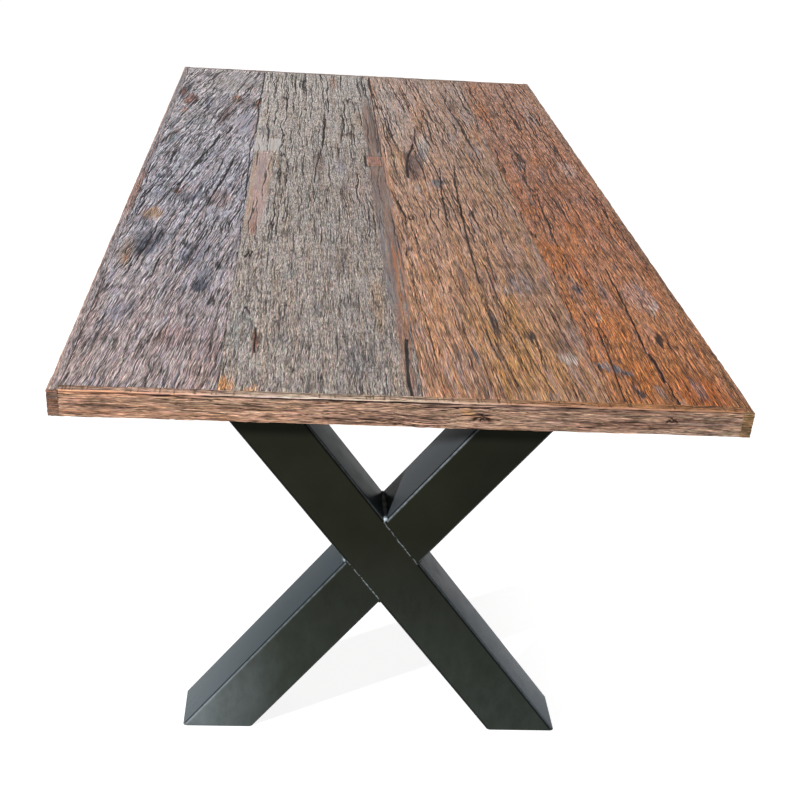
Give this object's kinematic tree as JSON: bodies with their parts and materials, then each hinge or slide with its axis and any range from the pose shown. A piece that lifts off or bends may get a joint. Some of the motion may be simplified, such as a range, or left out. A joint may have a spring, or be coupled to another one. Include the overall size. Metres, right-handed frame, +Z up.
{
  "type": "dining table",
  "caption": "Rectangular dining table: a lipped top of old hardwood boards on X-shaped legs of welded black square tube.",
  "frame": {"origin": "on the floor, at the middle of the table's length and width", "axes": "+Z up, +Y along the table's length towards its rear end, +X to the right seen from the front end"},
  "size_m": [1, 2.1, 0.77],
  "materials": {
    "old_boards": "weathered hardwood boards, oiled, with cracks and stains",
    "edge_strips": "old hardwood lippings, oiled, long grain",
    "battens": "planed hardwood, oiled",
    "tongues": "planed, unfinished",
    "black_paint": "semi-gloss black powder coat on steel",
    "zinc_screws": "bright zinc plate"
  },
  "bodies": {
    "root": {"plank_1": "old_boards", "plank_2": "old_boards", "plank_3": "old_boards", "plank_4": "old_boards", "seam_patch": "old_boards", "front_edge_strip": "edge_strips", "rear_edge_strip": "edge_strips", "left_edge_strip": "edge_strips", "right_edge_strip": "edge_strips", "front_batten": "battens", "middle_batten": "battens", "rear_batten": "battens", "tongue_1": "tongues", "tongue_2": "tongues", "tongue_3": "tongues", "front_edge_tongue": "tongues", "rear_edge_tongue": "tongues", "left_edge_tongue": "tongues", "right_edge_tongue": "tongues", "front_leg_through_tube": "black_paint", "front_leg_upper_half_tube": "black_paint", "front_leg_lower_half_tube": "black_paint", "front_leg_mounting_bar": "black_paint", "front_leg_through_foot_plate": "black_paint", "front_leg_half_foot_plate": "black_paint", "front_leg_weld_beads": "black_paint", "rear_leg_through_tube": "black_paint", "rear_leg_upper_half_tube": "black_paint", "rear_leg_lower_half_tube": "black_paint", "rear_leg_mounting_bar": "black_paint", "rear_leg_through_foot_plate": "black_paint", "rear_leg_half_foot_plate": "black_paint", "rear_leg_weld_beads": "black_paint", "front_leg_screws": "zinc_screws", "rear_leg_screws": "zinc_screws", "batten_screws": "zinc_screws"}
  },
  "joints": []
}
